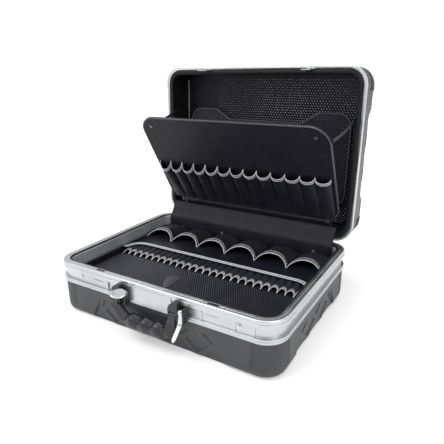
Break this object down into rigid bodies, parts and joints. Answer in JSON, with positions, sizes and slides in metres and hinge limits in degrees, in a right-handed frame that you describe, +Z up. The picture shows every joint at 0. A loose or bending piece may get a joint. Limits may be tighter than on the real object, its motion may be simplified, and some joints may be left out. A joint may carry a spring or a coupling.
{
  "type": "hard tool case",
  "caption": "Hard tool case standing open: ribbed shells in aluminium channel frames, hinged lid, drop handle, lever latches and pocket boards for tools.",
  "frame": {"origin": "middle of the base's underside, on the surface that the case stands on", "axes": "+X along the front to the right, +Y to the hinges, +Z up"},
  "size_m": [0.46, 0.4849, 0.4434],
  "materials": {
    "abs_shell": "moulded, fine grain",
    "aluminium_frame": "satin anodised",
    "aluminium_plate": "satin",
    "rivet": "polished",
    "steel_pin": "plated",
    "lining": "vacuum formed",
    "board": "nubbed and smooth board",
    "pocket_cloth": "coated cloth",
    "piping": "bound edge",
    "handle_black": "moulded",
    "grip_rubber": "soft grip",
    "seal_rubber": "soft",
    "latch_metal": "satin chrome"
  },
  "bodies": {
    "base": {"base_shell": "abs_shell", "base_frame": "aluminium_frame", "base_lining": "lining", "frame_joint_plate": "aluminium_plate", "front_plate": "aluminium_plate", "lock_cover_left": "aluminium_plate", "lock_cover_right": "aluminium_plate", "cover_rivets": "rivet", "front_board": "board", "rear_board": "board", "rear_board_piping": "piping", "small_pockets": "pocket_cloth", "small_pocket_piping": "piping", "large_pockets": "pocket_cloth", "large_pocket_piping": "piping", "divider_tab": "pocket_cloth", "latch_housing_left": "handle_black", "latch_housing_right": "handle_black", "hinge_leaves_base": "aluminium_plate", "hinge_leaf_rivets_base": "rivet", "hinge_pins": "steel_pin", "spine_sheet": "pocket_cloth", "spine_rivets": "rivet", "lever_pins": "steel_pin", "handle_pins": "steel_pin"},
    "lid": {"lid_shell": "abs_shell", "lid_frame": "aluminium_frame", "lid_seal": "seal_rubber", "lid_lining": "lining", "lid_back_panel": "lining", "lid_catches": "aluminium_plate", "hinge_leaves_lid": "aluminium_plate", "hinge_leaf_rivets_lid": "rivet", "document_panel": "board", "document_panel_piping": "piping", "document_panel_rivets": "rivet", "board_hinge_pin": "steel_pin", "board_hinge_brackets": "handle_black", "board_strap_left": "pocket_cloth", "board_strap_right": "pocket_cloth"},
    "lid_board": {"tool_board": "board", "tool_board_piping": "piping", "tool_pockets": "pocket_cloth", "tool_pocket_piping": "piping", "tool_board_rivets": "rivet"},
    "handle": {"handle_arm_left": "handle_black", "handle_arm_right": "handle_black", "handle_grip": "grip_rubber"},
    "latch_left": {"latch_lever_left": "latch_metal"},
    "latch_right": {"latch_lever_right": "latch_metal"},
    "bolt_left": {"lock_bolt_left": "steel_pin"},
    "bolt_right": {"lock_bolt_right": "steel_pin"}
  },
  "joints": [
    {"name": "lid_hinge", "type": "hinge", "parent": "base", "child": "lid", "pos_m": [0, 0.1775, 0.094], "axis": [1, 0, 0], "range_deg": [0, 92], "deforming": ["spine_sheet"]},
    {"name": "board_fold", "type": "hinge", "parent": "lid", "child": "lid_board", "pos_m": [0, 0.1805, 0.13992], "axis": [-1, 0, 0], "range_deg": [0, 43.1], "deforming": ["board_strap_left", "board_strap_right"]},
    {"name": "handle_swing", "type": "hinge", "parent": "base", "child": "handle", "pos_m": [0, -0.1795, 0.071], "axis": [-1, 0, 0], "range_deg": [0, 90]},
    {"name": "latch_left_turn", "type": "hinge", "parent": "base", "child": "latch_left", "pos_m": [-0.052, -0.1805, 0.081], "axis": [1, 0, 0], "range_deg": [-42, 0]},
    {"name": "latch_right_turn", "type": "hinge", "parent": "base", "child": "latch_right", "pos_m": [0.068, -0.1805, 0.081], "axis": [1, 0, 0], "range_deg": [-134, 0]},
    {"name": "bolt_left_slide", "type": "slide", "parent": "base", "child": "bolt_left", "axis": [1, 0, 0], "range_m": [-0.00901, 0]},
    {"name": "bolt_right_slide", "type": "slide", "parent": "base", "child": "bolt_right", "axis": [-1, 0, 0], "range_m": [-0.02873, 0]}
  ],
  "couplings": [
    {"joint": "board_fold", "follows": "lid_hinge", "ratio": 0.46739},
    {"joint": "bolt_left_slide", "follows": "latch_left_turn", "m_per_rad": 0.012278},
    {"joint": "bolt_right_slide", "follows": "latch_right_turn", "m_per_rad": 0.012278}
  ]
}
